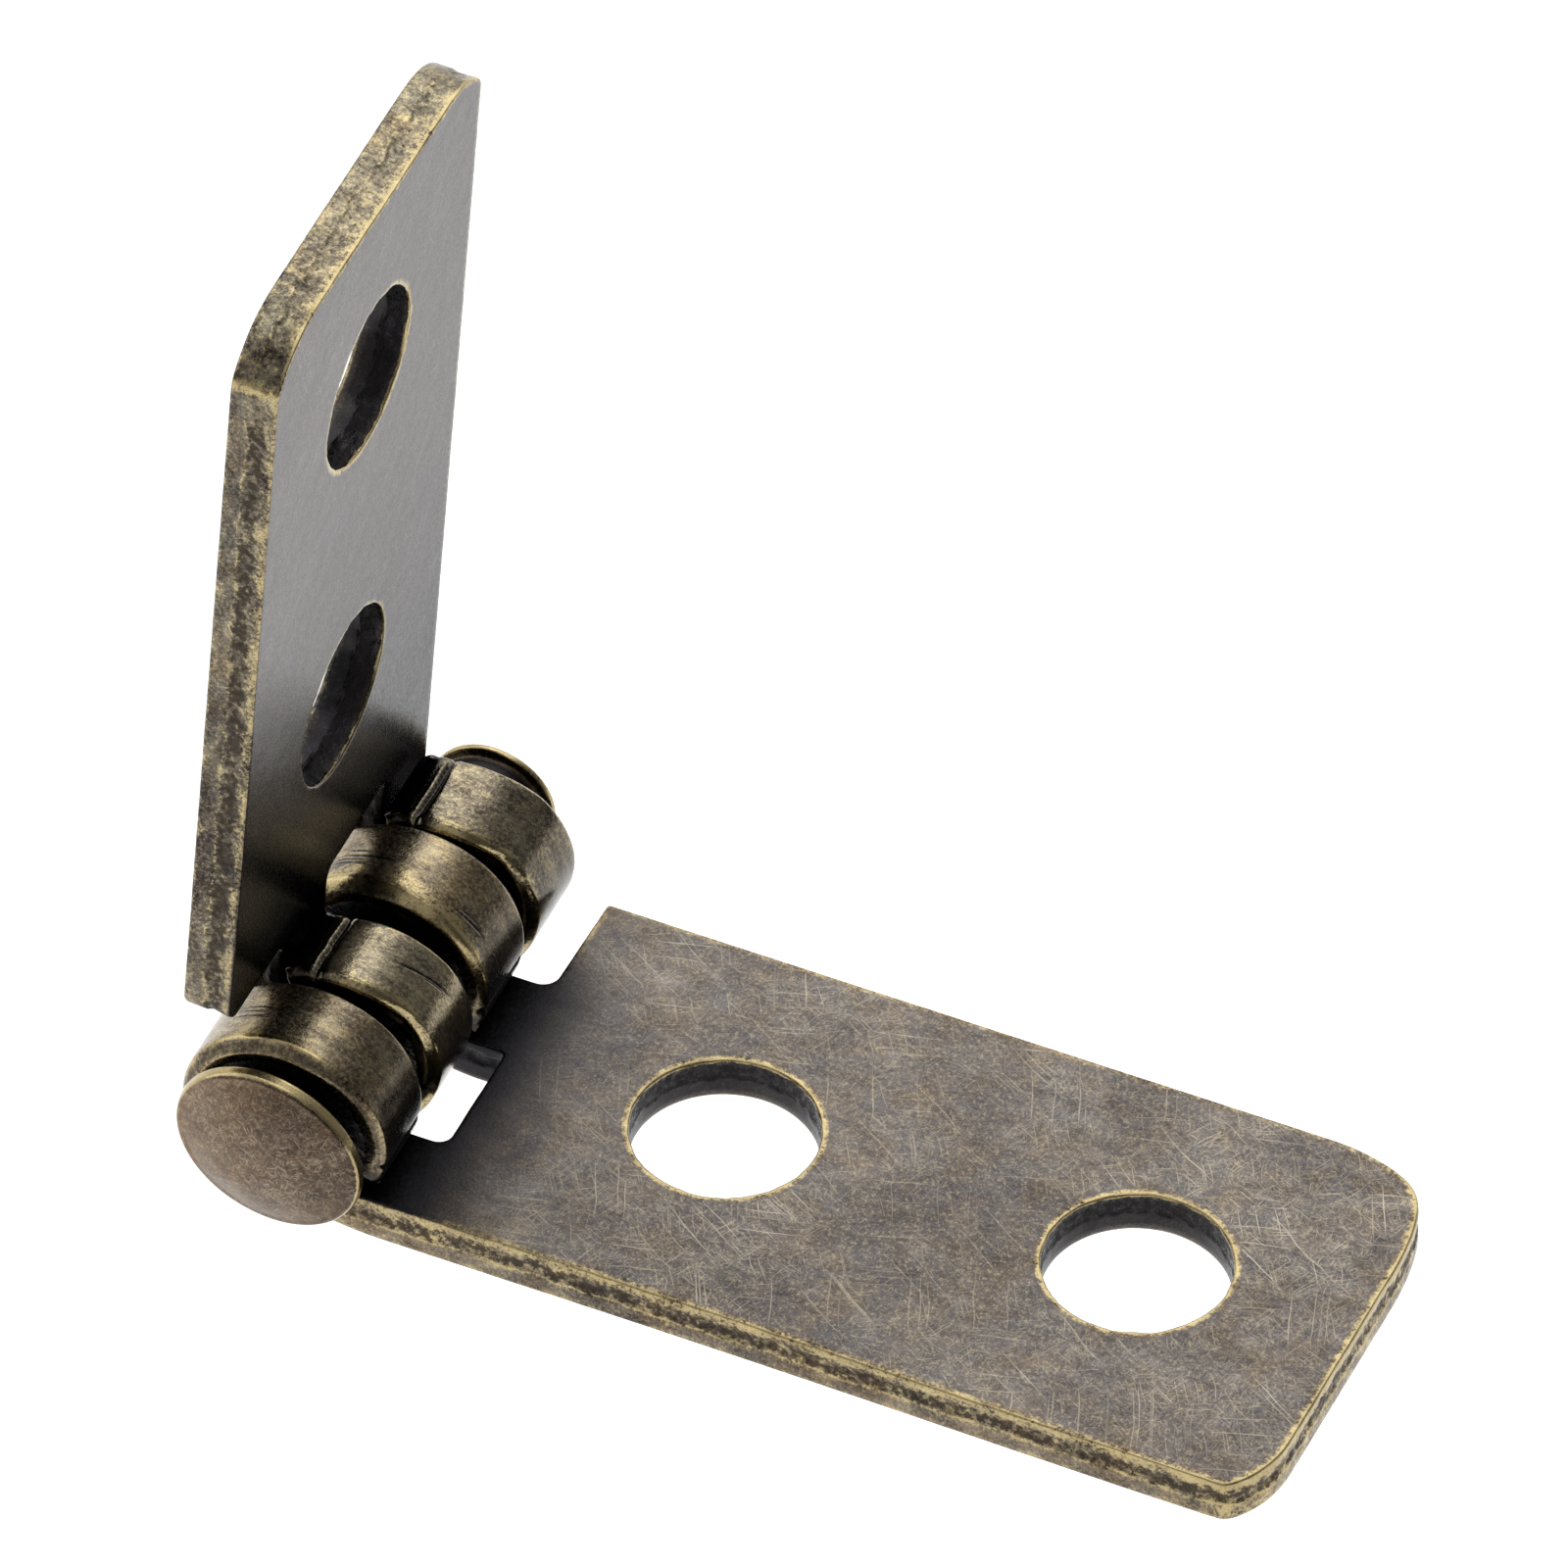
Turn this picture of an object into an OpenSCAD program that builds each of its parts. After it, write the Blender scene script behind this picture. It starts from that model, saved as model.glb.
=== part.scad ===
// Butt hinge of rolled sheet: two identical leaves on one loose riveted pin.
// The fixed leaf lies on Z = 0 with its free end towards +X. The pin runs along Y.
// The origin is midway between the fixed leaf's two screw holes, on its seating face.

/* [Leaves] */
// Pin axis to the free end of each leaf
leaf_len = 24.2; // [22.5:0.1:40]
// Width of each leaf, measured along the pin
leaf_w = 11; // [10.6:0.1:14]
// Thickness of the sheet
sheet_t = 1.2; // [1.15:0.05:1.2]
// Radius of both corners at the free end
corner_r = 2.45; // [2.4:0.05:3.2]
// First long edge to the centre of its corner
corner_in_first = 1.8; // [1.2:0.05:2.4]
// Second long edge to the centre of its corner, on the fixed leaf
corner_in_fixed = 2.4; // [1.2:0.05:2.4]
// Second long edge to the centre of its corner, on the swinging leaf
corner_in_swing = 2.1; // [1.2:0.05:2.4]

/* [Screw holes] */
// Diameter of each screw hole
hole_d = 4.4; // [3:0.1:5.5]
// Pin axis to the first screw hole
hole_first = 8.6; // [7:0.1:9.4]
// Distance between the two screw holes
hole_pitch = 10.2; // [7:0.1:11]

/* [Knuckles] */
// Outside diameter of the rolled barrel
barrel_d = 5.1; // [5.1:0.05:5.5]
// Width of each knuckle along the pin
knuckle_w = 2.4; // [1.8:0.05:2.6]
// First long edge to the inner knuckle's near face
knuckle_inner = 5.6; // [5.2:0.05:6]
// Pin axis to the edge of the plate beside the knuckles
notch_x = 3.1; // [2.9:0.05:4]
// Radius in the inside corners beside the knuckles
notch_r = 0.35; // [0.15:0.05:0.5]
// Angle of the rolled tip's end, below the pin's level
tip_angle = 30; // [20:1:31]
// Angle of the tool mark rolled across each knuckle, below the pin's level
mark_angle = 12.7; // [5:0.1:16]
// Width of the tool mark
mark_w = 0.35; // [0.2:0.05:0.5]
// Depth of the tool mark
mark_depth = 0.12; // [0.05:0.01:0.2]

/* [Pin] */
// Diameter of the pin's shank
pin_d = 2.6; // [2.2:0.05:2.6]
// Diameter of the broad head at the near end
broad_d = 4.54; // [3.5:0.02:5]
// Gap from the fixed leaf's first knuckle to the broad head
broad_gap = 0.4; // [0.3:0.05:0.8]
// Straight side of the broad head
broad_side = 0.26; // [0.1:0.02:0.8]
// Radius of the broad head's eased front edge
broad_ease = 0.24; // [0.1:0.02:0.4]
// Rise of the broad head's dome above its eased edge
broad_rise = 0.35; // [0.2:0.01:0.8]
// Diameter of the peened head at the far end
peen_d = 3.2; // [3:0.1:4.4]
// Fixed leaf's second long edge to the peened head
peen_gap = 0.7; // [0.3:0.05:1.2]
// Straight side of the peened head
peen_side = 0.14; // [0.1:0.02:0.4]
// Rise of the peened head's dome above its side
peen_rise = 0.25; // [0.1:0.05:0.5]

/* [Pose] */
// Angle between the leaves, 0 when shut
opening = 87; // [0:1:270]
// How far the swinging leaf sits along the pin from its middle place
end_play_shift = -0.2; // [-0.3:0.05:0.3]

/* [Hidden] */
barrel_r = barrel_d / 2;
bore_r = barrel_r - sheet_t;
hole_mid = hole_first + hole_pitch / 2;
cut = 0.5;
// the tip's end is cut a little past the barrel's surface
tip_reach = barrel_r * 1.02;
tip_x = tip_reach * cos(tip_angle);
tip_z = barrel_r - tip_reach * sin(tip_angle);
dome_steps = 12;
ease_steps = 6;

$fn = 96;

// A cylinder along +Y, from y = start for a length of len.
module along_y(r, start, len) {
    translate([0, start, 0]) rotate([-90, 0, 0]) cylinder(r = r, h = len);
}

// The flat plate of a leaf, with its rounded free end and two screw holes.
module plate(corner_in_second) {
    corner_x = leaf_len - corner_r;
    first_y = corner_in_first;
    second_y = leaf_w - corner_in_second;
    difference() {
        intersection() {
            translate([notch_x, 0, 0]) cube([leaf_len, leaf_w, sheet_t]);
            union() {
                cube([corner_x, leaf_w, sheet_t]);
                translate([0, first_y, 0]) cube([leaf_len, second_y - first_y, sheet_t]);
                translate([corner_x, first_y, 0]) cylinder(r = corner_r, h = sheet_t);
                translate([corner_x, second_y, 0]) cylinder(r = corner_r, h = sheet_t);
            }
        }
        for (x = [hole_first, hole_first + hole_pitch]) {
            translate([x, leaf_w / 2, -cut]) cylinder(d = hole_d, h = sheet_t + 2 * cut);
        }
    }
}

// The space left between the rolled tip's end and the leaf it comes back to.
module tip_space(y0) {
    translate([0, y0 + knuckle_w + cut, 0]) rotate([90, 0, 0]) linear_extrude(knuckle_w + 2 * cut)
        polygon([[0, barrel_r], [tip_x, tip_z], [tip_x, sheet_t], [0, sheet_t]]);
}

// The shallow tool mark pressed across a knuckle near its tip.
module tool_mark(y0) {
    translate([0, y0 - cut, barrel_r]) rotate([0, mark_angle, 0])
        translate([barrel_r - mark_depth, 0, -mark_w / 2]) cube([cut, knuckle_w + 2 * cut, mark_w]);
}

// One knuckle: the sheet rolled from its outer face round the pin's bore.
module knuckle(y0) {
    difference() {
        union() {
            translate([0, 0, barrel_r]) along_y(barrel_r, y0, knuckle_w);
            translate([0, y0, 0]) cube([notch_x + cut, knuckle_w, sheet_t]);
        }
        translate([0, 0, barrel_r]) along_y(bore_r, y0 - cut, knuckle_w + 2 * cut);
        tip_space(y0);
        tool_mark(y0);
    }
}

// The rounded inside corner between a knuckle's web and the plate.
module inside_corner(y, side) {
    translate([notch_x - notch_r, y, 0]) difference() {
        translate([0, side > 0 ? 0 : -notch_r, 0]) cube([notch_r + cut, notch_r, sheet_t]);
        translate([0, side * notch_r, -cut]) cylinder(r = notch_r, h = sheet_t + 2 * cut);
    }
}

// A whole leaf lying flat: the seating face is at Z = 0 and the pin axis is above the Y axis.
module leaf(corner_in_second) {
    plate(corner_in_second);
    knuckle(0);
    knuckle(knuckle_inner);
    inside_corner(knuckle_w, 1);
    inside_corner(knuckle_inner, -1);
    inside_corner(knuckle_inner + knuckle_w, 1);
}

// Dome outline from its edge to the axis: [radius, height] pairs.
function dome(r, rise) = let (ball = (r * r + rise * rise) / (2 * rise))
    [for (i = [0 : dome_steps]) let (x = r * (1 - i / dome_steps))
        [x, sqrt(ball * ball - x * x) - (ball - rise)]];

// Moves the parts from the pin's axis to the row's origin.
module placed() {
    translate([-hole_mid, -leaf_w / 2, 0]) children();
}

module fixed_leaf() {
    color([0.40, 0.36, 0.29]) placed() leaf(corner_in_fixed);
}

// The swinging leaf is the fixed leaf's part turned end for end and then swung up.
module swing_leaf() {
    color([0.45, 0.41, 0.34]) placed()
        translate([0, end_play_shift, barrel_r]) rotate([0, 180 - opening, 0])
            translate([0, leaf_w, -barrel_r]) rotate([0, 0, 180]) leaf(corner_in_swing);
}

// The rivet pin: a broad domed head, a plain shank and a small peened head.
module pin() {
    broad_r = broad_d / 2;
    pin_r = pin_d / 2;
    broad_front = -broad_gap - broad_side;
    peen_back = leaf_w + peen_gap;
    face_r = broad_r - broad_ease;
    near_side = [for (p = dome(face_r, broad_rise)) [p[0], broad_front - broad_ease - p[1]]];
    far_side = [for (p = dome(peen_d / 2, peen_rise)) [p[0], peen_back + peen_side + p[1]]];
    eased = [for (i = [ease_steps - 1 : -1 : 0]) let (a = 90 * i / ease_steps)
        [face_r + broad_ease * cos(a), broad_front - broad_ease * sin(a)]];
    outline = concat(
        [for (i = [dome_steps : -1 : 0]) near_side[i]],
        eased,
        [[broad_r, -broad_gap], [pin_r, -broad_gap]],
        [[pin_r, peen_back], [peen_d / 2, peen_back]],
        far_side);
    color([0.44, 0.38, 0.30]) placed() translate([0, 0, barrel_r]) rotate([-90, 0, 0])
        rotate_extrude() polygon(outline);
}

fixed_leaf();
swing_leaf();
pin();
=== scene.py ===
"""Looks of a small butt hinge of rolled, aged sheet brass: two detailed leaves and a rivet pin.

Each leaf is made as the real one is: a sheared flat blank whose two strips are rolled round the pin.
Blank coordinates are millimetres: s from the pin towards the free end, y along the pin,
t through the sheet from its outer, seating face (0) to its inner face (SHEET).
"""

import itertools
import math

import bpy
import numpy as np
from mathutils import Matrix, Vector
from mathutils.geometry import delaunay_2d_cdt


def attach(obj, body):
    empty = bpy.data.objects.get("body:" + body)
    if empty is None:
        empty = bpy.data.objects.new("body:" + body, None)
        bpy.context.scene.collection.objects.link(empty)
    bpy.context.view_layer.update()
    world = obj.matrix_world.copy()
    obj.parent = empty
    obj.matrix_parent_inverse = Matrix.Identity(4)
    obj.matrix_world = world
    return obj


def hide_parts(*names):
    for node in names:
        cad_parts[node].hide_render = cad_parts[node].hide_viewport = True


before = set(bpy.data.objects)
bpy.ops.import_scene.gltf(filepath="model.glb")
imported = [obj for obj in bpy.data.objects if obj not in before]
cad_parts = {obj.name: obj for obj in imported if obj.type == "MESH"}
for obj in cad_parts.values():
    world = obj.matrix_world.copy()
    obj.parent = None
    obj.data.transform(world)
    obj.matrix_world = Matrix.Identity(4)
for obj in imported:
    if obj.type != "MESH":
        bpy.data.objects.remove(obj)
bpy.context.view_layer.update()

# ---------------------------------------------------------------- sizes, in millimetres
MM = 0.001
LEAF_LEN, LEAF_W, SHEET = 24.2, 11.0, 1.2
BARREL_R = 2.55
KNUCKLE_W, KNUCKLE_INNER = 2.4, 5.6
TIP_SWEEP = math.radians(300)
STRIP_LEN = BARREL_R * TIP_SWEEP
HOLE_R, HOLE_FIRST, HOLE_PITCH = 2.17, 8.6, 10.2
HOLE_MID = HOLE_FIRST + HOLE_PITCH / 2
OPENING = math.radians(87)
END_PLAY = -0.2
CORNER_R = 2.45
CORNER_S = LEAF_LEN - CORNER_R
EDGE_STEP, GRID_STEP = 0.085, 0.15  # spacing of the mesh along the edges and on the faces
BREAK_IN, BREAK_THROUGH = 0.020, 0.045  # how far a jag of 1 moves the break into and through the sheet
FACE_BRASS, FACE_BRASS_REACH = 0.15, 0.16  # brass on a face beside its edges, and how fast it fades


# ---------------------------------------------------------------- seeded noise
def value_noise(points, scale, seed):
    """Smooth noise from -1 to 1 at each point, with about scale lumps a millimetre."""
    q = np.asarray(points, float) * scale + seed * 7.31
    cell = np.floor(q).astype(np.int64)
    f = q - cell
    f = f * f * f * (f * (f * 6 - 15) + 10)
    total = np.zeros(len(q))
    for corner in itertools.product((0, 1), repeat=q.shape[1]):
        c = cell + corner
        h = c[:, 0] * 73856093
        for axis, prime in zip(range(1, q.shape[1]), (19349663, 83492791)):
            h = h ^ (c[:, axis] * prime)
        h = (h ^ (seed * 2654435761)) & 0xFFFFFFFF
        h = ((h ^ (h >> 13)) * 1274126177) & 0xFFFFFFFF
        h = (h ^ (h >> 16)) & 0xFFFF
        weight = np.prod(np.where(np.array(corner), f, 1 - f), axis=1)
        total += weight * (h / 32767.5 - 1)
    return total


def layered(points, scale, seed, octaves=3):
    """Several octaves of the noise, each half as strong as the one before."""
    return sum(
        value_noise(points, scale * 2**k, seed + k) * 0.5**k for k in range(octaves)
    )


def ramp(x, low, high):
    """0 below low, 1 above high, smooth between."""
    v = np.clip((np.asarray(x, float) - low) / (high - low), 0, 1)
    return v * v * (3 - 2 * v)


# ---------------------------------------------------------------- outlines of the blank
def unit(v):
    return v / np.linalg.norm(v)


def rounded_path(corners, step):
    """Closed path through (x, y, radius) corners, with a point about every step."""
    points = []
    for i, (x, y, r) in enumerate(corners):
        p = np.array((x, y), float)
        into = unit(p - np.array(corners[i - 1][:2], float))
        out = unit(np.array(corners[(i + 1) % len(corners)][:2], float) - p)
        turn = math.atan2(into[0] * out[1] - into[1] * out[0], into @ out)
        if r == 0 or abs(turn) < 1e-6:
            points.append(p)
            continue
        start = p - into * r * math.tan(abs(turn) / 2)
        centre = start + math.copysign(r, turn) * np.array((-into[1], into[0]))
        arm = start - centre
        parts = max(3, math.ceil(abs(turn) * r / step))
        for k in range(parts + 1):
            a = turn * k / parts
            points.append(
                centre
                + np.array(
                    (
                        arm[0] * math.cos(a) - arm[1] * math.sin(a),
                        arm[0] * math.sin(a) + arm[1] * math.cos(a),
                    )
                )
            )
    path = []
    for a, b in zip(points, points[1:] + points[:1]):
        gap = np.linalg.norm(b - a)
        if gap < 1e-6:
            continue
        parts = max(1, round(gap / step))
        path += [a + (b - a) * k / parts for k in range(parts)]
    return np.array(path)


def arc(cx, cy, r, start, end, parts):
    """Corner points without rounding along an arc, for rounded_path."""
    angles = [math.radians(start + (end - start) * k / parts) for k in range(parts + 1)]
    return [(cx + r * math.cos(a), cy + r * math.sin(a), 0) for a in angles]


def curve(points, parts):
    """Corner points without rounding along a smooth curve through the given ones."""
    p = [points[0], *points, points[-1]]
    out = []
    for i in range(1, len(p) - 2):
        a, b, c, d = (np.array(q, float) for q in p[i - 1 : i + 3])
        for k in range(parts):
            u = k / parts
            v = 0.5 * (
                2 * b
                + (c - a) * u
                + (2 * a - 5 * b + 4 * c - d) * u * u
                + (3 * b - a - 3 * c + d) * u**3
            )
            out.append((v[0], v[1], 0))
    return [*out, (*points[-1], 0)]


def outward(path):
    """Unit normals pointing out of the material, which lies on the path's left."""
    ahead = np.roll(path, -1, 0) - path
    ahead /= np.linalg.norm(ahead, axis=1)[:, None]
    both = ahead + np.roll(ahead, 1, 0)
    length = np.linalg.norm(both, axis=1)[:, None]
    normal = smoothed(np.stack((both[:, 1], -both[:, 0]), 1) / length, 2)
    return normal / np.linalg.norm(normal, axis=1)[:, None]


def smoothed(values, width):
    """A running mean along a closed path."""
    total = sum(np.roll(values, k, 0) for k in range(-width, width + 1))
    return total / (2 * width + 1)


# Sheared edge of the sheet, from the outer face to the inner one:
# through, inset, jag (roughness of the break), brass (worn bare), broken (fracture band)
SHEARED = (
    (0.000, 0.140, 0.0, 0.14, 0.0),
    (0.006, 0.090, 0.0, 0.30, 0.0),
    (0.020, 0.055, 0.0, 0.52, 0.0),
    (0.045, 0.030, 0.0, 0.62, 0.0),
    (0.080, 0.014, 0.0, 0.48, 0.0),
    (0.130, 0.005, 0.0, 0.36, 0.0),
    (0.200, 0.001, 0.1, 0.29, 0.0),
    (0.320, 0.000, 0.2, 0.26, 0.0),
    (0.420, 0.000, 0.4, 0.28, 0.0),
    (0.470, 0.000, 0.9, 0.42, 0.1),
    (0.500, 0.002, 1.3, 0.70, 0.0),
    (0.525, 0.008, 1.3, 0.58, 0.2),
    (0.560, 0.024, 1.3, 0.42, 0.7),
    (0.630, 0.040, 1.3, 0.40, 1.0),
    (0.710, 0.046, 1.3, 0.42, 1.0),
    (0.790, 0.044, 1.3, 0.42, 1.0),
    (0.860, 0.036, 1.3, 0.45, 0.9),
    (0.920, 0.024, 1.1, 0.50, 0.7),
    (0.975, 0.014, 0.8, 0.58, 0.35),
    (1.030, 0.012, 0.5, 0.66, 0.1),
    (1.080, 0.010, 0.3, 0.68, 0.0),
    (1.125, 0.013, 0.2, 0.76, 0.0),
    (1.160, 0.022, 0.1, 0.80, 0.0),
    (1.184, 0.036, 0.0, 0.86, 0.0),
    (1.196, 0.056, 0.0, 0.80, 0.0),
    (1.200, 0.086, 0.0, 0.52, 0.0),
)
# Rounding by the outer face on the rolled knuckles, in place of the first rows: through, inset, brass
KNUCKLE_ROLL = (
    (0.000, 0.400, 0.40),
    (0.004, 0.345, 0.85),
    (0.022, 0.300, 1.00),
    (0.065, 0.245, 0.60),
    (0.140, 0.170, 0.14),
    (0.230, 0.080, 0.10),
    (0.290, 0.025, 0.30),
    (0.335, 0.002, 0.85),
    (0.400, 0.000, 0.10),
)
# Wall of a punched screw hole, the same five columns
PUNCHED = (
    (0.000, 0.220, 0.0, 0.16, 0.0),
    (0.010, 0.130, 0.0, 0.30, 0.0),
    (0.035, 0.065, 0.0, 0.45, 0.0),
    (0.080, 0.024, 0.0, 0.35, 0.0),
    (0.150, 0.004, 0.1, 0.10, 0.0),
    (0.300, 0.000, 0.3, 0.00, 0.0),
    (0.500, 0.000, 0.4, 0.00, 0.0),
    (0.560, 0.003, 0.8, 0.05, 0.3),
    (0.600, 0.016, 1.0, 0.00, 1.0),
    (0.750, 0.026, 1.0, 0.00, 1.0),
    (0.950, 0.030, 1.0, 0.00, 1.0),
    (1.080, 0.028, 0.8, 0.05, 1.0),
    (1.120, 0.022, 0.6, 0.40, 0.5),
    (1.150, 0.022, 0.5, 1.00, 0.0),
    (1.182, 0.034, 0.4, 1.00, 0.0),
    (1.198, 0.068, 0.3, 1.00, 0.0),
    (1.200, 0.115, 0.2, 0.62, 0.0),
    (1.200, 0.200, 0.0, 0.16, 0.0),
)


# ---------------------------------------------------------------- the two leaves
def around(angle):
    """Blank position of an angle round the pin, in degrees, on a leaf lying flat."""
    return -BARREL_R * math.radians(270 - angle)


FIRST_CORNER = arc(CORNER_S, 1.8, CORNER_R, -47.3, 0, 24)

# What differs between the two leaves. Angles are round the pin, amounts run from 0 to about 1.
# second_corner: corner points of the free end's second corner
# far_notch: s of the step by the last knuckle, its fillet, the radius of its corner
# mid_notch: s of the notch between the knuckles, its two fillets
# sides: per knuckle, an angle and the shift along the pin of its first and its second side
# shoulders: per knuckle, brass by the first rim, its reach, brass by the second rim, its reach
# groove: strength of the tool marks by the tips
# recess_shade: painted shade on the inner face towards the pin, each with amount, s it is full up to, s it
# ends at
# clear_corner: share of that painted shade missing by the last knuckle
# end_brass: extra brass on the wall of the free end
# soft_end, dull_end: share of the torn band and of the brass missing at the free end
# rim: rounding by the inner face, as a share of SHEARED
# brown_edge: share of the brass missing from the burnished zone of the walls (below 0 adds some)
# worn_back: extra scratches on the outer face of the plate
# mottle: unevenness of the inner face's patina
# barrel_side_shade: painted shade on one side of the barrel: amount, angle, reach as an angle, largest y
# rolls: rounding of the strips' sides, in order along the pin
# thin: how much less of that rounding the strips have away from the top of the barrel
# kink: (s, y) of the bare brass where a corner's arc meets the long edge at an angle
# widened: spread of the first edge towards the free end
# tone_and_light_spots: lighter or darker areas, each with amount, s, y, width: darker patina, painted shade
# and painted highlights
FIXED = {
    "name": "fixed_leaf_sheet",
    "seed": 3,
    "second_corner": curve(
        [
            (24.20, 7.90),
            (24.16, 8.50),
            (24.08, 9.10),
            (23.95, 9.65),
            (23.74, 10.10),
            (23.42, 10.43),
            (22.95, 10.68),
            (22.40, 10.85),
            (21.90, 10.95),
            (21.40, 11.00),
        ],
        8,
    ),
    "far_notch": (3.22, 0.40, 0.10),
    "mid_notch": (3.05, 0.12, 0.32),
    "sides": (
        ((-30, 0.16, -0.12), (30, 0.09, -0.11), (70, 0.0, -0.10), (180, 0.0, 0.0), (270, 0.0, 0.0)),
        ((-30, 0.10, -0.04), (60, 0.02, -0.06), (180, 0.05, -0.02), (270, 0.08, 0.0)),
    ),
    "shoulders": ((0.85, 0.30, 0.6, 0.25), (1.25, 0.8, 0.5, 0.3)),
    "groove": 0.9,
    "recess_shade": ((0.78, 3.0, 5.6), (0.25, 4.0, 9.0)),
    "end_brass": 0.25,
    "soft_end": 0.0,
    "dull_end": 0.0,
    "rim": 1.0,
    "brown_edge": 0.10,
    "clear_corner": 0.6,
    "worn_back": 0.0,
    "mottle": 1.0,
    "barrel_side_shade": (1.0, -15, 56, 9.0),
    "rolls": (1.0, 0.55, 1.0, 0.55),
    "kink": (23.41, 0.0),
    "widened": 0.15,
    "thin": 1.0,
    "tone_and_light_spots": (
        (-0.16, 9.5, 0.5, 3.2),
        (-0.03, 22.0, 7.5, 3.0),
        (-0.05, 16.0, 5.0, 2.5),
        # a painted highlight on the top of the second knuckle
        (0.07, around(95), 6.8, 2.5),
    ),
}
SWING = {
    "name": "swing_leaf_sheet",
    "seed": 11,
    "second_corner": arc(CORNER_S, LEAF_W - 2.1, CORNER_R, 0, 59, 28),
    "far_notch": (2.90, 0.40, 0.50),
    "mid_notch": (3.00, 0.32, 0.32),
    "sides": (
        (
            (-30, 0.42, 0.40),
            (-3, 0.44, 0.40),
            (17, 0.32, 0.30),
            (42, 0.10, 0.0),
            (87, -0.07, -0.03),
            (130, -0.09, 0.0),
            (180, 0.0, 0.0),
            (270, 0.0, 0.0),
        ),
        (
            (-30, 0.50, 0.26),
            (-8, 0.46, 0.22),
            (17, 0.30, 0.14),
            (47, 0.14, -0.16),
            (87, 0.03, -0.24),
            (180, 0.0, -0.15),
            (270, 0.0, 0.0),
        ),
    ),
    "shoulders": ((0.5, 0.3, 0.95, 0.6), (0.5, 0.3, 0.95, 0.5)),
    "groove": 1.0,
    "recess_shade": ((0.50, 4.0, 9.0), (0.62, 5.5, 15.5)),
    "end_brass": 0.10,
    "soft_end": 0.65,
    "dull_end": 0.3,
    "rim": 0.4,
    "brown_edge": -0.30,
    "clear_corner": 0.0,
    "worn_back": 1.8,
    "mottle": 0.3,
    "barrel_side_shade": (0.75, 95, 42, 3.0),
    "rolls": (0.5, 0.45, 0.5, 0.45),
    "kink": (23.01, LEAF_W),
    "widened": 0.0,
    "thin": 0.0,
    # lighter at the free end, painted shade on the lower part of the leaf and a painted highlight on its
    # second knuckle
    "tone_and_light_spots": ((0.10, 23.0, 3.0, 4.0), (-0.35, 8.5, 6.5, 5.0), (0.10, around(45), 6.8, 3.5)),
}


def blank_outline(spec):
    """The outline of a leaf's flat blank, counter-clockwise: the plate and its two strips."""
    tip, tip_r = -STRIP_LEN, 0.12
    k1, k3 = KNUCKLE_W, KNUCKLE_INNER + KNUCKLE_W
    far_s, far_fillet, far_corner = spec["far_notch"]
    mid_s, mid_fillet, mid_fillet_2 = spec["mid_notch"]
    corners = [(tip, 0, 0.45)]
    corners += FIRST_CORNER
    corners += spec["second_corner"]
    corners += [
        (far_s, LEAF_W, far_corner),
        (far_s - 0.06, k3, far_fillet),
        (tip, k3, tip_r),
        (tip, KNUCKLE_INNER, tip_r),
        (mid_s, KNUCKLE_INNER, mid_fillet),
        (mid_s, k1, mid_fillet_2),
        (tip, k1, tip_r),
    ]
    path = rounded_path(corners, EDGE_STEP)
    share = 0.5 * ramp(path[:, :1], 20.5, 21.5)
    for _ in range(10):
        path += share * (0.5 * (np.roll(path, 1, 0) + np.roll(path, -1, 0)) - path)
    return path


def hole_outline(centre_s):
    """A screw hole's outline, clockwise, so that the material lies on its left."""
    count = round(2 * math.pi * HOLE_R / EDGE_STEP)
    a = -np.arange(count) * 2 * math.pi / count
    return np.stack((centre_s + HOLE_R * np.cos(a), LEAF_W / 2 + HOLE_R * np.sin(a)), 1)


def wall(path, profile, seed, roll, limit, rim=1.0):
    """Rings of a sheared wall along a path: blank points, and their brass and broken shares.
    roll is 1 on the knuckles and 0 on the plate, limit keeps insets small at tight corners,
    and rim scales the rounding by the inner face."""
    normal = outward(path)
    along = np.concatenate(([0], np.cumsum(np.linalg.norm(np.diff(path, axis=0), axis=1))))
    wave = layered(path, 0.9, seed)
    tear = layered(path, 3.1, seed + 5)
    rings = []
    for number, (t, inset, jag_full, brass, broken) in enumerate(profile):
        jag = jag_full * (1 - 0.85 * np.clip(roll * 2, 0, 1))
        through, inset_here = np.full(len(path), t), np.full(len(path), inset)
        worn = np.full(len(path), brass)
        if number < len(KNUCKLE_ROLL):
            for value, on_knuckle in zip((through, inset_here, worn), KNUCKLE_ROLL[number]):
                value += (on_knuckle - value) * roll
        inset_here = np.minimum(inset_here, limit) * (rim if t > 1.05 else 1)
        rough = layered(np.stack((along, np.full(len(path), t * 1.6)), 1), 4.5, seed + 9)
        bumps = jag * BREAK_IN * rough + 0.006 * wave * (jag > 0)
        inset_here = np.maximum(inset_here + bumps, 0)
        depth = np.clip(through + jag * BREAK_THROUGH * tear, 0, SHEET)
        at = path - normal * inset_here[:, None]
        rings.append(np.column_stack((at, depth, worn, np.full(len(path), broken))))
    return np.array(rings)


def inside(points, loop):
    """True for points within a closed loop."""
    result = np.zeros(len(points), bool)
    x, y = points[:, 0], points[:, 1]
    for (ax, ay), (bx, by) in zip(loop, np.roll(loop, -1, 0)):
        if ay == by:
            continue
        crosses = (ay > y) != (by > y)
        result ^= crosses & (x < ax + (y - ay) * (bx - ax) / (by - ay))
    return result


def nearest(points, others):
    """Distance from each point to the closest of the others."""
    best = np.full(len(points), 1e9)
    for k in range(0, len(others), 400):
        part = others[k : k + 400]
        d = ((points[:, None, :] - part[None, :, :]) ** 2).sum(2).min(1)
        best = np.minimum(best, d)
    return np.sqrt(best)


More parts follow.
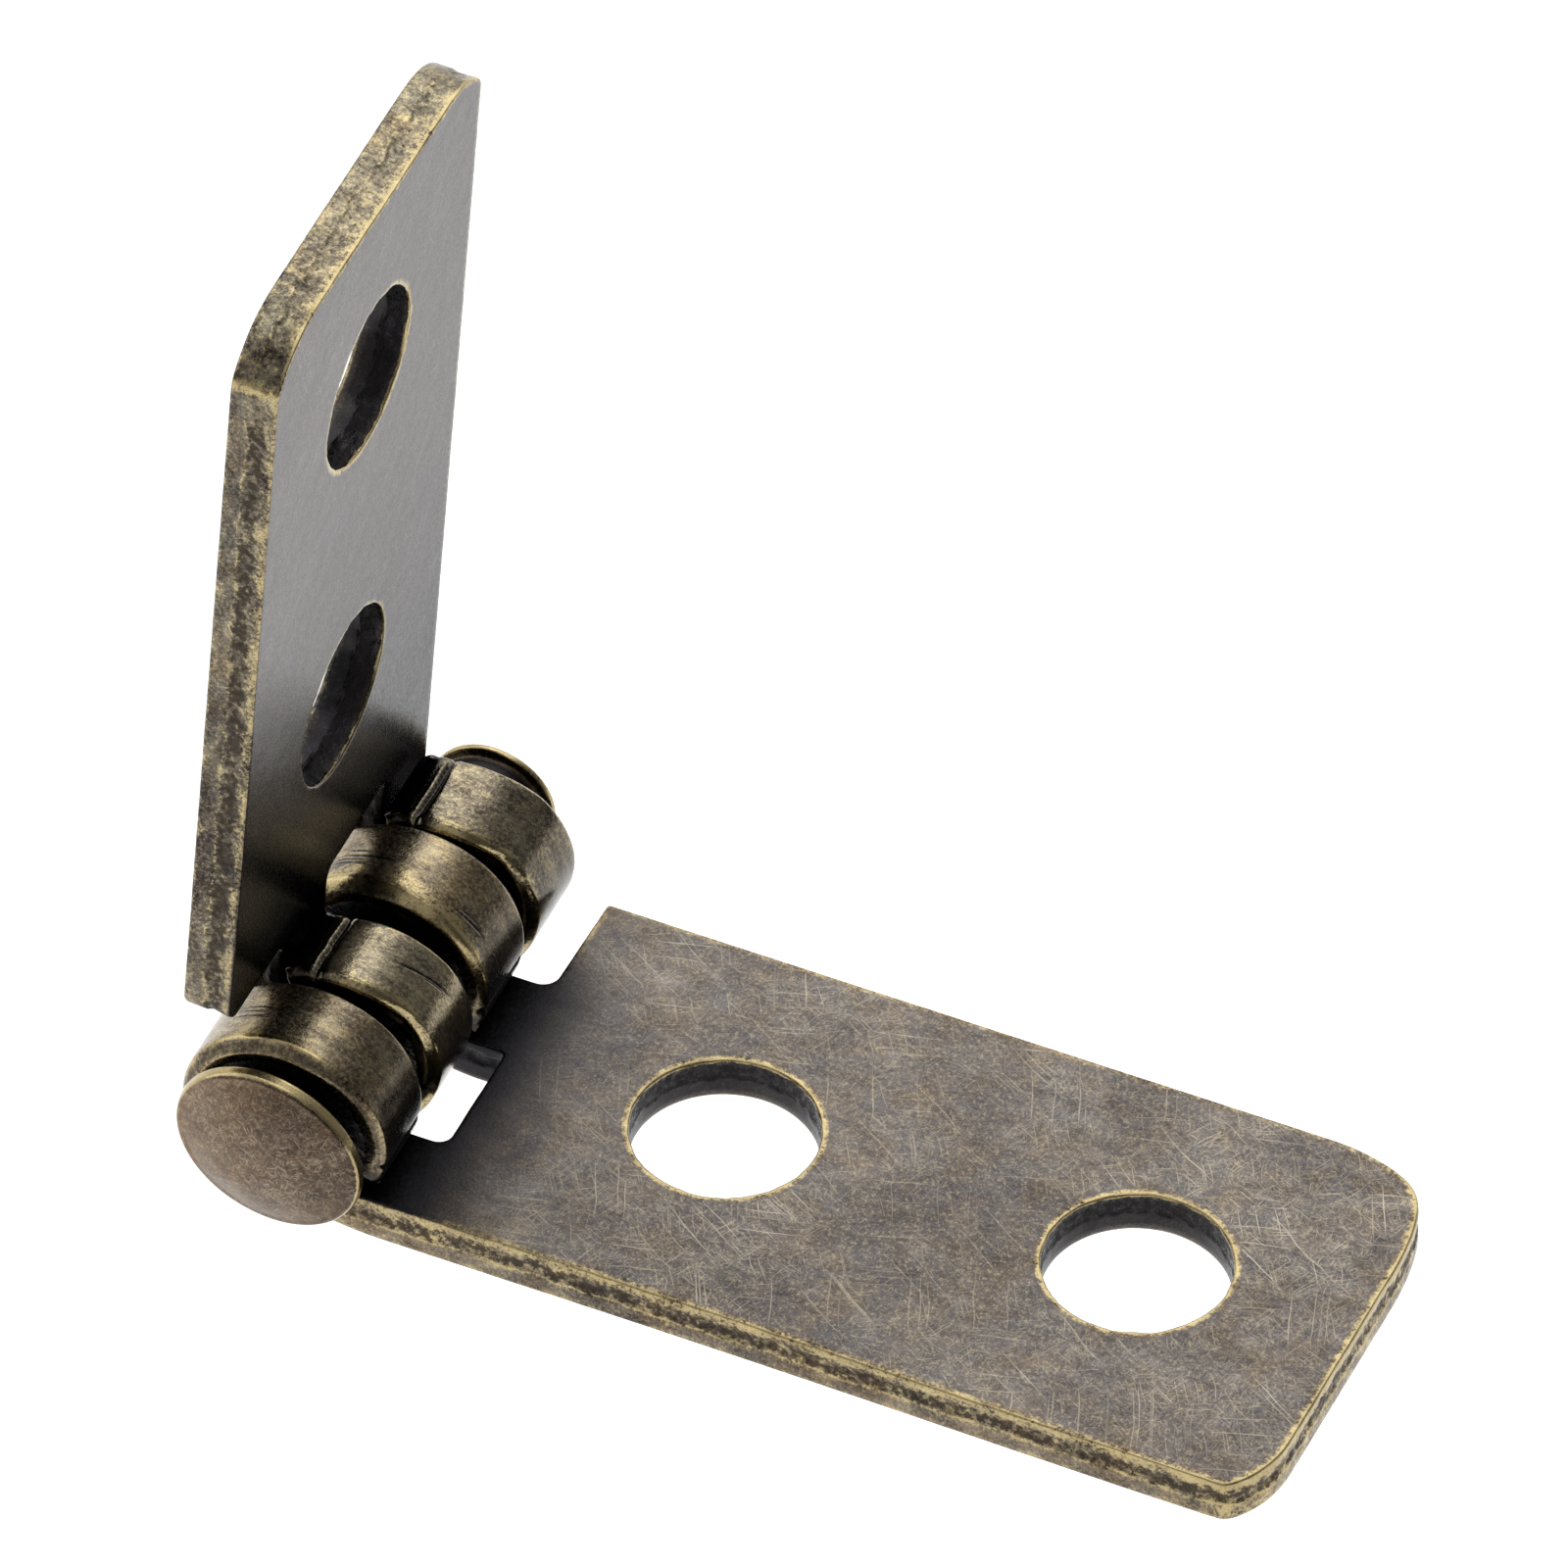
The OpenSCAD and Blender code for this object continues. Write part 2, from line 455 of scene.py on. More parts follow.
def grid_points():
    """A staggered grid over the whole blank, finer across the rolled tool marks."""
    rows = []
    step = GRID_STEP * 0.87
    s_values = list(np.arange(-STRIP_LEN, LEAF_LEN, step))
    marks = list(np.arange(-STRIP_LEN + 0.35, -STRIP_LEN + 1.35, 0.032))
    s_values = [s for s in s_values if not marks[0] - step / 2 < s < marks[-1] + step / 2]
    for k, s in enumerate(sorted(s_values + marks)):
        y = np.arange(0, LEAF_W, GRID_STEP) + (k % 2) * GRID_STEP / 2
        rows.append(np.column_stack((np.full(len(y), s), y)))
    return np.concatenate(rows)


def fill_face(loops, grid):
    """Triangles of a face: its loops, the first the outline and the others holes, and grid points.
    Returns the grid points used, their distance from the loops, and the triangles, whose numbers
    run over the loops' points and then the grid points."""
    outline = loops[0]
    edge_points = np.concatenate(loops)
    gap = nearest(grid, edge_points)
    keep = (gap > GRID_STEP * 0.55) & inside(grid, outline)
    for loop in loops[1:]:
        keep &= ~inside(grid, loop)
    extra, gap = grid[keep], gap[keep]
    points = [tuple(p) for p in np.concatenate((edge_points, extra))]
    edges, first, owner = [], 0, []
    for number, loop in enumerate(loops):
        n = len(loop)
        edges += [(first + k, first + (k + 1) % n) for k in range(n)]
        owner += [number] * n
        first += n
    owner += [-1] * len(extra)
    made = delaunay_2d_cdt(points, edges, [], 1, 1e-9)
    if not all(made[3]):
        raise ValueError("two edges of a face's outline cross")
    faces, source = made[2], [o[0] for o in made[3]]
    triangles = []
    for face in faces:
        tri = [source[v] for v in face]
        owners = {owner[v] for v in tri}
        if len(owners) == 1 and owners.pop() > 0:
            continue
        triangles.append(tri)
    return extra, gap, np.array(triangles)


def side_shift(spec, s, y):
    """How far along the pin a point of a strip is moved: the knuckles aren't rolled quite true."""
    shift = np.zeros(len(s))
    angle = 270 + np.degrees(np.minimum(s, 0) / BARREL_R)
    for keys, low in zip(spec["sides"], (0, KNUCKLE_INNER)):
        a = [k[0] for k in keys]
        first = np.interp(angle, a, [k[1] for k in keys])
        second = np.interp(angle, a, [k[2] for k in keys])
        share = np.clip((y - low) / KNUCKLE_W, 0, 1)
        on = (y > low - 0.3) & (y < low + KNUCKLE_W + 0.3)
        fade = 1 - ramp(s, 0.2, 2.4)
        shift += np.where(on, (first * (1 - share) + second * share) * fade, 0)
    return shift


def groove_depth(spec, s, y):
    """Depth of the tool marks across each knuckle near its tip: two grooves with a lip between them."""
    wander = value_noise(np.column_stack((y * 0.9, s * 0)), 1.1, spec["seed"] + 40)
    wander += 0.5 * value_noise(np.column_stack((y * 0.9, s * 0)), 3.3, spec["seed"] + 41)
    lie = s + STRIP_LEN - 0.035 * wander
    wide = np.exp(-(((lie - 0.88) / 0.075) ** 2))
    lip = np.exp(-(((lie - 0.77) / 0.035) ** 2))
    narrow = np.exp(-(((lie - 0.67) / 0.038) ** 2))
    rim = np.exp(-(((lie - 0.60) / 0.03) ** 2))
    return spec["groove"] * (0.130 * wide - 0.010 * lip + 0.018 * narrow - 0.004 * rim)


def relief(spec, s, y, t):
    """Moves points through the sheet: tool marks, faint dents and the waviness of rolled sheet."""
    flat = np.column_stack((s, y))
    outer = np.clip(1 - t / 0.42, 0, 1)
    inner = ramp(t, SHEET - 0.12, SHEET)
    dents = np.maximum(0.5 + 0.5 * layered(flat, 0.55, spec["seed"] + 21, 3), 0)
    wave = 0.006 * dents + 0.0025 * (1 + value_noise(flat, 2.6, spec["seed"] + 27))
    moved = t + outer * np.where(s < 0, groove_depth(spec, s, y), 0)
    moved = moved + outer * (wave + 0.004) - inner * (wave + 0.001)
    return moved


def curl(s, y, t):
    """Blank points rolled into the leaf's own frame: a flat plate beyond s = 0, round the pin before it."""
    angle = 1.5 * math.pi + np.minimum(s, 0) / BARREL_R
    r = BARREL_R - t
    x = np.where(s < 0, r * np.cos(angle), s)
    z = np.where(s < 0, BARREL_R + r * np.sin(angle), t)
    return np.column_stack((x, y, z))


def place_fixed(p):
    return p - np.array((HOLE_MID, LEAF_W / 2, 0))


def place_swing(p):
    """The swinging leaf: turned end for end, then swung up to its resting angle."""
    turn = math.pi - OPENING
    x, y, z = -p[:, 0], LEAF_W - p[:, 1] + END_PLAY, p[:, 2] - BARREL_R
    q = np.column_stack(
        (
            x * math.cos(turn) + z * math.sin(turn),
            y,
            -x * math.sin(turn) + z * math.cos(turn) + BARREL_R,
        )
    )
    return place_fixed(q)


def shoulder_brass(spec, s, y):
    """Brass showing beside the rims of the knuckles."""
    amount = np.zeros(len(s))
    for (a, wa, b, wb), low in zip(spec["shoulders"], (0, KNUCKLE_INNER)):
        first = a * np.exp(-np.maximum(y - low, 0) / wa)
        second = b * np.exp(-np.maximum(low + KNUCKLE_W - y, 0) / wb)
        on = (y > low - 0.2) & (y < low + KNUCKLE_W + 0.2)
        amount = np.where(on, np.maximum(first, second), amount)
    return amount * (1 - ramp(s, -1.0, 0.8)) * ramp(s, 0.4 - STRIP_LEN, 1.4 - STRIP_LEN)


def mesh_object(name, points, faces, attributes):
    """A closed smooth mesh in metres, with its normals outward and its named point attributes."""
    mesh = bpy.data.meshes.new(name)
    mesh.from_pydata((points * MM).tolist(), [], faces)
    mesh.validate()
    for key, value in attributes.items():
        kind = "FLOAT_VECTOR" if value.ndim == 2 else "FLOAT"
        layer = mesh.attributes.new(key, kind, "POINT")
        field = "vector" if value.ndim == 2 else "value"
        layer.data.foreach_set(field, value.astype(np.float32).ravel())
    mesh.shade_smooth()
    obj = bpy.data.objects.new(name, mesh)
    bpy.context.scene.collection.objects.link(obj)
    return obj


def ring_faces(start, rings, count, flip):
    """Quads between rings of count points each."""
    faces = []
    for r in range(rings - 1):
        a, b = start + r * count, start + (r + 1) * count
        for k in range(count):
            j = (k + 1) % count
            quad = (a + k, a + j, b + j, b + k)
            faces.append(quad[::-1] if flip else quad)
    return faces


def leaf_walls(spec):
    """The rings of points of a leaf's outline and of its two screw holes, each from face to face."""
    outline = blank_outline(spec)
    s, y = outline.T
    strip = 1 - ramp(s, 0.2, 2.5)
    sides = (0, KNUCKLE_W, KNUCKLE_INNER, KNUCKLE_INNER + KNUCKLE_W)
    tip_part = ramp(s, around(95), around(35))
    plate_part = ramp(s, around(120), around(160))
    thin = 1 - spec["thin"] * (0.65 * tip_part + 0.35 * plate_part)
    roll = smoothed(strip * thin * np.interp(y, sides, spec["rolls"]), 4)
    tight = 0.06 + 0.55 * ramp(s, -STRIP_LEN + 0.05, -STRIP_LEN + 1.3)
    sharp = np.hypot(s - spec["far_notch"][0], y - LEAF_W)
    limit = smoothed(np.minimum(tight, 0.05 + 0.55 * sharp), 2)
    walls = [wall(outline, SHEARED, spec["seed"], roll, limit, spec["rim"])]
    for k in range(2):
        hole = hole_outline(HOLE_FIRST + k * HOLE_PITCH)
        walls.append(wall(hole, PUNCHED, spec["seed"] + 50 + k, 0.0, 9.0))
    return walls


def leaf_surface(walls):
    """The blank's points, with s, y, t, brass, broken, face and hole in their columns, and its faces."""
    grid = grid_points()
    blank, faces, first = [], [], []
    count = 0
    for w in walls:
        rings, n = w.shape[:2]
        first.append((count, rings, n))
        faces += ring_faces(count, rings, n, False)
        hole_wall = np.full(rings * n, float(w is not walls[0]))
        blank.append(np.column_stack((w.reshape(-1, 5), np.zeros(rings * n), hole_wall)))
        count += rings * n
    for ring, t, down in ((0, 0.0, True), (-1, SHEET, False)):
        loops = [w[ring][:, :2] for w in walls]
        extra, gap, triangles = fill_face(loops, grid)
        number = np.concatenate(
            [np.arange(n) + c + (rings - 1) * n * (ring == -1) for c, rings, n in first]
            + [np.arange(len(extra)) + count]
        )
        faces += [tuple(f[::-1]) if down else tuple(f) for f in number[triangles].tolist()]
        fade = FACE_BRASS * np.exp(-gap / FACE_BRASS_REACH)
        n = len(extra)
        blank.append(
            np.column_stack((extra, np.full(n, t), fade, np.zeros(n), np.ones(n), np.zeros(n)))
        )
        count += n
    return np.concatenate(blank), faces


def leaf_attributes(spec, blank):
    """What the brass material reads at each point of a leaf: see aged_brass."""
    s, y, t, brass, broken, face, hole = blank.T
    from_tip = s + STRIP_LEN
    outer = 1 - ramp(t, 0.0, 0.3)
    wall_part = (1 - face) * (1 - hole)
    rolled = 1 - ramp(s, -0.6, 1.2)

    # darkening: darker in the tool marks, on the screw holes' walls and in a band on the near rims'
    # rounding, and painted shade at the tips, in the inner corner by the barrel, on the notches' walls, on
    # the cut sides of the knuckles and on one side of the barrel
    groove = groove_depth(spec, s, y)
    in_groove = np.clip(groove * 12, 0, 1) * outer * (s < 0)
    on_lip = np.clip(-groove * 60, 0, 1) * outer * (s < 0)
    # painted shade on the tips of the strips
    tip_shade = 0.9 * (1 - ramp(from_tip, 0.55, 0.9))
    in_hole = 0.9 * hole * ramp(t, 0.1, 0.2) * (1 - ramp(t, 1.05, 1.14))
    # painted shade on the knuckles' cut sides, which face the neighbouring knuckles
    cut_side_shade = 0.95 * wall_part * rolled * ramp(t, 0.36, 0.46)
    band = 0.8 * np.exp(-(((t - 0.17) / 0.075) ** 2)) * wall_part * rolled * (y < 1)
    # painted shade on the inner face towards the pin
    recess_shade = sum(a * (1 - ramp(s, low, high)) for a, low, high in spec["recess_shade"])
    recess_shade = recess_shade * ramp(t, 1.10, 1.19) * (1 - spec["clear_corner"] * ramp(y, 7.6, 9.6))
    # painted shade on the notches' walls
    notch_wall_shade = wall_part * ramp(s, 0.6, 2.0) * (1 - ramp(s, 3.0, 3.8)) * ramp(t, 0.02, 0.2)
    notch_wall_shade = notch_wall_shade * (y > 0.5) * (y < 8.4)
    # painted shade on one side of the barrel
    amount, middle, reach, far = spec["barrel_side_shade"]
    barrel_side_shade = amount * np.exp(-(((s - around(middle)) / around(270 - reach)) ** 2))
    barrel_side_shade = barrel_side_shade * (s < 0) * (y < far) * (0.35 + 0.65 * face)
    grime_and_shade = np.maximum.reduce((in_groove, tip_shade, in_hole, recess_shade, notch_wall_shade, cut_side_shade, barrel_side_shade, band))

    # bare brass: the sheared walls, then the knuckles' shoulders, the lips of the marks, the kink
    broken = broken * (1 - spec["soft_end"] * ramp(s, 21.5, 22.3))
    wear = brass * (1 - spec["brown_edge"] * wall_part * ramp(t, 0.03, 0.09) * (1 - ramp(t, 0.40, 0.48)))
    wear = wear + wall_part * (1 - 0.5 * broken) * spec["end_brass"] * ramp(s, 21.8, 23.3)
    # the painted shade on the notches' walls and by the barrel also takes away bare brass
    wear = wear * (1 - 0.95 * np.maximum(notch_wall_shade, 0.7 * recess_shade * (s < 4)))
    shoulder = shoulder_brass(spec, s, y) * (1 - ramp(t, 0.02, np.where(y < 1, 0.10, 0.45)))
    end_line = np.exp(-(((t - 0.33) / 0.035) ** 2)) * wall_part * rolled * (y < 0.6)
    wear = np.maximum.reduce((wear, shoulder, on_lip * 0.8 * (y > 4), 0.8 * end_line))
    # the painted shade on one side of the barrel also takes away its bare brass
    wear = wear * (1 - 0.9 * barrel_side_shade)
    wear = wear * (1 - 0.25 * (y > LEAF_W - 0.3) * wall_part)
    wear = wear * (1 - spec["dull_end"] * ramp(s, 21.8, 23.3) * wall_part * (t < 1.1))
    kink = np.hypot(s - spec["kink"][0], y - spec["kink"][1])
    wear = np.maximum(wear, 0.85 * wall_part * np.exp(-((kink / 0.30) ** 2)))
    wear = wear * (1 - (1 - ramp(from_tip, 0.75, 1.6)) * (s < 0) * (on_lip < 0.1))

    # patina: lighter and darker areas, some darker patina and some painted shade and painted highlights,
    # and a more worn outer face
    tone_and_painted_light = sum(
        a * np.exp(-(((s - s0) / width) ** 2 + ((y - y0) / width) ** 2))
        for a, s0, y0, width in spec["tone_and_light_spots"]
    )
    back = (1 - ramp(t, 0.3, 0.9)) * ramp(s, -0.5, 1.0)
    return {
        "blank": np.column_stack((s, y, t)),
        "wear": wear,
        "grime_and_shade": grime_and_shade,
        "broken": broken,
        "barrel": 1 - ramp(s, -1.5, 1.0),
        "tone_and_painted_light": tone_and_painted_light,
        "lined": face * (1 + 0.4 * ramp(s, 15, 22)) * (1 + spec["worn_back"] * back),
        "mottle": spec["mottle"] + (1 - spec["mottle"]) * back,
    }


def build_leaf(spec, place):
    """One leaf as a detailed closed mesh."""
    blank, faces = leaf_surface(leaf_walls(spec))
    s, y, t = blank[:, :3].T
    moved_y = y + side_shift(spec, s, y)
    moved_y -= spec["widened"] * ramp(s, 8, 24) * (1 - ramp(y, 0, 2.6))
    points = place(curl(s, moved_y, relief(spec, s, y, t)))
    return mesh_object(spec["name"], points, faces, leaf_attributes(spec, blank))


# ---------------------------------------------------------------- the rivet pin
PIN_R, NEAR_R = 1.30, 2.25
PIN_TURNS = 288
OVAL, OVAL_ANGLE = 0.10, math.radians(150)  # the near head is a little longer this way than across


def dome(radius, rise, r):
    """Height of a spherical cap of that radius and rise, at a distance r from its axis."""
    ball = (radius**2 + rise**2) / (2 * rise)
    return math.sqrt(ball**2 - r**2) - (ball - rise)


def pin_profile():
    """(radius, y, brass, painted shade) from the near head's centre to the far head's centre: the shade is
    painted on the back of the near head, the shank and the neck under the far head.
    """
    rows = []
    near_r, near_y, near_rise = 2.06, -0.81, 0.42
    far_r, far_y, far_rise = 1.50, 11.875, 0.21
    for k in range(46):
        r = near_r * k / 45
        rows.append((r, near_y - dome(near_r, near_rise, r), 0.05, 0.0))
    for k in range(1, 11):
        a = math.radians(12 + 78 * k / 10)
        brass = 1.5 * float(ramp(math.degrees(a), 36, 60))
        rows.append((near_r + 0.18 * math.sin(a), -0.62 - 0.19 * math.cos(a), brass, 0.0))
    rows += [(2.250, -0.58, 1.4, 0), (2.256, -0.54, 1.1, 0), (2.250, -0.50, 0.8, 0)]
    # the last column darkens the back of the near head and the shank as painted shade, and the neck under
    # the far head below
    rows += [(2.235, -0.47, 0.6, 0), (2.20, -0.45, 0.6, 0.1), (2.14, -0.44, 0.2, 0.6)]
    rows += [(1.9, -0.43, 0.0, 1.0), (1.6, -0.42, 0.0, 1.0), (1.36, -0.41, 0, 1)]
    rows += [(1.305, -0.36, 0, 1), (PIN_R, -0.28, 0, 1)]
    rows += [(PIN_R, y, 0.0, 1.0) for y in np.linspace(0, LEAF_W, 12)]
    rows += [(PIN_R, 11.55, 0, 1), (1.305, 11.66, 0.2, 0.7), (1.34, 11.70, 0.3, 0.2)]
    rows += [(1.42, 11.70, 0.35, 0), (1.50, 11.705, 0.6, 0), (1.530, 11.725, 0.9, 0)]
    rows += [(1.54, 11.76, 0.95, 0), (1.54, 11.81, 0.9, 0), (1.530, 11.85, 0.85, 0)]
    for k in range(31):
        r = far_r * (1 - k / 30)
        rows.append((r, far_y + dome(far_r, far_rise, r), 0.2 if r > 1.4 else 0.06, 0.0))
    return rows


def build_pin():
    """The pin turned about its axis, with slightly uneven heads."""
    rows = pin_profile()
    inner = rows[1:-1]
    a = np.arange(PIN_TURNS) * 2 * math.pi / PIN_TURNS
    points, wear, grime_and_shade = [], [], []
    for r, y, brass, dirt_and_shade in inner:
        ring = np.column_stack((np.cos(a), np.sin(a)))
        uneven = 1.0 if y < 0 else (0.6 if y > LEAF_W else 0.0)
        wobble = value_noise(ring, 1.3, 61) * 0.012 * uneven * (r / NEAR_R)
        radius = r - 0.012 * uneven * (r / NEAR_R) + wobble
        radius = radius + OVAL * (y < 0) * (r / NEAR_R) * np.cos(2 * (a - OVAL_ANGLE))
        px, pz = radius * np.cos(a), radius * np.sin(a)
        flat = np.column_stack((px, pz))
        dent = 0.010 * (1 + layered(flat, 0.8, 71, 4)) * uneven * (r < 2.05)
        py = y + (dent if y < 0 else -dent)
        points.append(np.column_stack((px, py, pz)))
        wear.append(np.full(PIN_TURNS, brass))
        grime_and_shade.append(np.full(PIN_TURNS, dirt_and_shade))
    ends = np.array([(0, rows[0][1] + 0.01, 0), (0, rows[-1][1] - 0.006, 0)], float)
    p = np.concatenate((*points, ends))
    n = len(inner)
    faces = ring_faces(0, n, PIN_TURNS, False)
    near_end, far_end = n * PIN_TURNS, n * PIN_TURNS + 1
    last = (n - 1) * PIN_TURNS
    for k in range(PIN_TURNS):
        j = (k + 1) % PIN_TURNS
        faces.append((near_end, j, k))
        faces.append((far_end, last + k, last + j))
    wear = np.concatenate((*wear, [0.05, 0.05]))
    grime_and_shade = np.concatenate((*grime_and_shade, [0, 0]))
    blank = np.column_stack((p[:, 0] + 40, p[:, 2], p[:, 1]))
    middle = np.hypot(p[:, 0] - 0.1, p[:, 2] - 0.1)
    placed = p + np.array((-HOLE_MID, -LEAF_W / 2, BARREL_R))
    attributes = {
        "blank": blank,
        "wear": wear,
        "grime_and_shade": grime_and_shade,
        "broken": np.zeros(len(p)),
        "barrel": np.zeros(len(p)),
        # painted light on the near head: lighter towards its lower left and darker towards its upper right
        "tone_and_painted_light": np.where(p[:, 1] < 0, -0.095 * (p[:, 0] + 0.4) - 0.03 * p[:, 2], 0),
        "mottle": np.full(len(p), 0.8),
        "lined": 0.35 + 0.75 * np.exp(-((middle / 1.3) ** 2)),
    }
    return mesh_object("rivet_pin_turned", placed, faces, attributes)


# ---------------------------------------------------------------- materials
class Nodes:
    """Short names for making shader nodes."""

    def __init__(self, material):
        material.use_nodes = True
        self.tree = material.node_tree
        self.tree.nodes.clear()

    def new(self, kind, inputs=(), **settings):
        node = self.tree.nodes.new("ShaderNode" + kind)
        for key, value in settings.items():
            setattr(node, key, value)
        for key, value in dict(inputs).items():
            if isinstance(value, bpy.types.NodeSocket):
                self.tree.links.new(value, node.inputs[key])
            else:
                node.inputs[key].default_value = value
        return node

    def math(self, operation, a, b=0.0, c=0.0):
        return self.new("Math", {0: a, 1: b, 2: c}, operation=operation).outputs[0]

    def attribute(self, name, output="Fac"):
        return self.new("Attribute", attribute_name=name).outputs[output]

    def noise(self, vector, scale, detail=4.0, rough=0.55, distortion=0.0):
        node = self.new(
            "TexNoise",
            {
                "Vector": vector,
                "Scale": scale,
                "Detail": detail,
                "Roughness": rough,
                "Distortion": distortion,
            },
        )
        return node.outputs["Fac"]

    def span(self, value, low, high, to_low=0.0, to_high=1.0):
        node = self.new(
            "MapRange",
            {0: value, 1: low, 2: high, 3: to_low, 4: to_high},
            interpolation_type="SMOOTHSTEP",
        )
        return node.outputs[0]

    def mix(self, factor, a, b, blend="MIX"):
        node = self.new("Mix", {0: factor, 6: a, 7: b}, data_type="RGBA", blend_type=blend)
        return node.outputs[2]

    def ramp(self, value, stops):
        node = self.new("ValToRGB", {0: value})
        elements = node.color_ramp.elements
        while len(elements) < len(stops):
            elements.new(0.5)
        for element, (at, colour) in zip(elements, stops):
            element.position = at
            element.color = (*colour, 1)
        return node.outputs[0]


def hairlines(n, where, layers):
    """Short fine scratches: each layer is one direction, drawn as stretched cells."""
    total = None
    for angle, long, wide, share, strength, offset in layers:
        turned = n.new(
            "Mapping",
            {
                "Vector": where,
                "Location": (offset, offset * 0.7, 0),
                "Rotation": (0, 0, math.radians(angle)),
                "Scale": (long, wide, 1),
            },
            vector_type="TEXTURE",
        ).outputs[0]
        cells = n.new("TexVoronoi", {"Vector": turned, "Scale": 1.0}, voronoi_dimensions="2D")
        line = n.span(cells.outputs["Distance"], 0.16, 0.34, 1.0, 0.0)
        chance = n.new("SeparateColor", {0: cells.outputs["Color"]})
        chosen = n.span(chance.outputs[0], 1 - share, 1 - share * 0.55)
        level = n.math("MULTIPLY_ADD", chance.outputs[1], 0.7, 0.3)
        one = n.math("MULTIPLY", n.math("MULTIPLY", line, chosen), level)
        one = n.math("MULTIPLY", one, strength)
        total = one if total is None else n.math("MAXIMUM", total, one)
    return total


def scores(n, where, lines):
    """Dark scored lines on the outer face, each from one (s, y) to another with a half width."""
    total = None
    for (s0, y0), (s1, y1), width in lines:
        run = Vector((s1 - s0, y1 - y0, 0))
        from_start = n.new("VectorMath", {0: where, 1: (s0, y0, 0)}, operation="SUBTRACT").outputs[0]
        reach = n.new(
            "VectorMath",
            {0: from_start, 1: run / run.length_squared},
            operation="DOT_PRODUCT",
        ).outputs["Value"]
        reach = n.new("Clamp", {0: reach}).outputs[0]
        foot = n.new("VectorMath", {0: tuple(run), 3: reach}, operation="SCALE").outputs[0]
        gap = n.new("VectorMath", {0: from_start, 1: foot}, operation="DISTANCE")
        taper = n.span(n.math("ABSOLUTE", n.math("SUBTRACT", reach, 0.5)), 0.2, 0.5, 1.0, 0.1)
        near = n.math("DIVIDE", gap.outputs["Value"], width)
        line = n.math("MULTIPLY", n.span(near, 0.3, 1.0, 1.0, 0.0), taper)
        total = line if total is None else n.math("MAXIMUM", total, line)
    return total


def line_layers(angles, long, wide, share, strength, offset):
    """Settings of several layers of scratches, one for each direction."""
    return tuple(
        (a, long * (1 + 0.2 * (k % 3)), wide, share, strength, offset + 3.7 * k)
        for k, a in enumerate(angles)
    )


# Scratches on a flat face, finer ones on the pin's head, and dark creases
HAIRLINES = (
    line_layers((12, 47, 81, 104, 138, 163), 0.45, 0.036, 0.16, 0.52, 1.3)
    + line_layers((29, 66, 122, 154), 1.2, 0.042, 0.12, 0.70, 31.7)
    + line_layers((18, 112, 147), 2.8, 0.060, 0.09, 0.95, 57.9)
)
HEAD_LINES = (
    line_layers((12, 47, 81, 104, 138, 163), 0.28, 0.046, 0.22, 0.75, 1.3)
    + line_layers((29, 66, 122, 154), 0.45, 0.050, 0.16, 0.90, 31.7)
)
DARK_LINES = line_layers((5, 36, 73, 98, 129, 171), 0.50, 0.050, 0.22, 1.0, 83.1)


